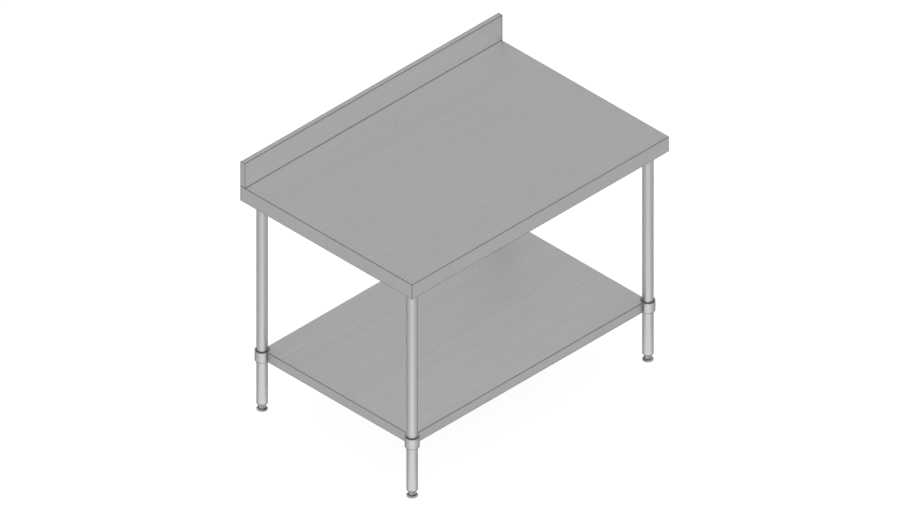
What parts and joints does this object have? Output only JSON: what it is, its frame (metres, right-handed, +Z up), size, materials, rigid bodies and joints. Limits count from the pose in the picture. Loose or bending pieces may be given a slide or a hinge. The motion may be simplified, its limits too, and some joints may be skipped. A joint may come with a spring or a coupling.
{
  "type": "stainless work table",
  "caption": "Stainless steel kitchen work table with a folded worktop, rear splashback, round tube legs, a height-adjustable undershelf and screw feet.",
  "frame": {"origin": "on the floor, under the middle of the table's footprint", "axes": "+Z up, +X along the table's length to the right as seen from the front, +Y from the front to the splashback at the rear"},
  "size_m": [1.2, 0.8, 1],
  "materials": {
    "stainless_sheet": "satin brushed stainless sheet",
    "stainless_tube": "fine polished stainless tube",
    "stainless_turned": "turned stainless steel",
    "galvanised_channel": "galvanised, faintly spangled",
    "cast_aluminium": "cast, lightly rough",
    "fastener_steel": "plain stainless fasteners",
    "bonding_tape": "matt black foam tape",
    "deadening_pad": "matt bitumen pad",
    "glide_nylon": "moulded nylon"
  },
  "bodies": {
    "table_frame": {"worktop_panel": "stainless_sheet", "splash_end_left": "stainless_sheet", "splash_end_right": "stainless_sheet", "cross_channel_left": "galvanised_channel", "cross_channel_right": "galvanised_channel", "long_channel": "galvanised_channel", "channel_bonding_strips": "bonding_tape", "sound_deadening_pads": "deadening_pad", "socket_bolts": "fastener_steel", "socket_weld_nuts": "fastener_steel", "socket_grub_screws": "fastener_steel", "leg_socket_front_left": "cast_aluminium", "leg_front_left": "stainless_tube", "leg_insert_front_left": "stainless_turned", "leg_socket_front_right": "cast_aluminium", "leg_front_right": "stainless_tube", "leg_insert_front_right": "stainless_turned", "leg_socket_rear_left": "cast_aluminium", "leg_rear_left": "stainless_tube", "leg_insert_rear_left": "stainless_turned", "leg_socket_rear_right": "cast_aluminium", "leg_rear_right": "stainless_tube", "leg_insert_rear_right": "stainless_turned"},
    "undershelf": {"undershelf_panel": "stainless_sheet", "shelf_channel": "galvanised_channel", "collar_grub_screws": "fastener_steel", "shelf_collar_front_left": "stainless_turned", "shelf_collar_front_right": "stainless_turned", "shelf_collar_rear_left": "stainless_turned", "shelf_collar_rear_right": "stainless_turned"},
    "foot_glide_front_left": {"glide_pad_front_left": "glide_nylon"},
    "foot_screw_front_left": {"foot_stud_front_left": "fastener_steel", "foot_base_front_left": "stainless_turned"},
    "foot_glide_front_right": {"glide_pad_front_right": "glide_nylon"},
    "foot_screw_front_right": {"foot_stud_front_right": "fastener_steel", "foot_base_front_right": "stainless_turned"},
    "foot_glide_rear_left": {"glide_pad_rear_left": "glide_nylon"},
    "foot_screw_rear_left": {"foot_stud_rear_left": "fastener_steel", "foot_base_rear_left": "stainless_turned"},
    "foot_glide_rear_right": {"glide_pad_rear_right": "glide_nylon"},
    "foot_screw_rear_right": {"foot_stud_rear_right": "fastener_steel", "foot_base_rear_right": "stainless_turned"}
  },
  "joints": [
    {"name": "undershelf_height", "type": "slide", "parent": "table_frame", "child": "undershelf", "axis": [0, 0, 1], "range_m": [-0.15, 0.4]},
    {"name": "foot_travel_front_left", "type": "slide", "parent": "table_frame", "child": "foot_glide_front_left", "axis": [0, 0, -1], "range_m": [0, 0.0251]},
    {"name": "foot_turn_front_left", "type": "hinge", "parent": "foot_glide_front_left", "child": "foot_screw_front_left", "pos_m": [-0.55, -0.35, 0], "axis": [0, 0, -1], "range_deg": [0, 5142.86]},
    {"name": "foot_travel_front_right", "type": "slide", "parent": "table_frame", "child": "foot_glide_front_right", "axis": [0, 0, -1], "range_m": [0, 0.0251]},
    {"name": "foot_turn_front_right", "type": "hinge", "parent": "foot_glide_front_right", "child": "foot_screw_front_right", "pos_m": [0.55, -0.35, 0], "axis": [0, 0, -1], "range_deg": [0, 5142.86]},
    {"name": "foot_travel_rear_left", "type": "slide", "parent": "table_frame", "child": "foot_glide_rear_left", "axis": [0, 0, -1], "range_m": [0, 0.0251]},
    {"name": "foot_turn_rear_left", "type": "hinge", "parent": "foot_glide_rear_left", "child": "foot_screw_rear_left", "pos_m": [-0.55, 0.35, 0], "axis": [0, 0, -1], "range_deg": [0, 5142.86]},
    {"name": "foot_travel_rear_right", "type": "slide", "parent": "table_frame", "child": "foot_glide_rear_right", "axis": [0, 0, -1], "range_m": [0, 0.0251]},
    {"name": "foot_turn_rear_right", "type": "hinge", "parent": "foot_glide_rear_right", "child": "foot_screw_rear_right", "pos_m": [0.55, 0.35, 0], "axis": [0, 0, -1], "range_deg": [0, 5142.86]}
  ],
  "couplings": [
    {"joint": "foot_travel_front_left", "follows": "foot_turn_front_left", "m_per_rad": 0.00027852},
    {"joint": "foot_travel_front_right", "follows": "foot_turn_front_right", "m_per_rad": 0.00027852},
    {"joint": "foot_travel_rear_left", "follows": "foot_turn_rear_left", "m_per_rad": 0.00027852},
    {"joint": "foot_travel_rear_right", "follows": "foot_turn_rear_right", "m_per_rad": 0.00027852}
  ]
}
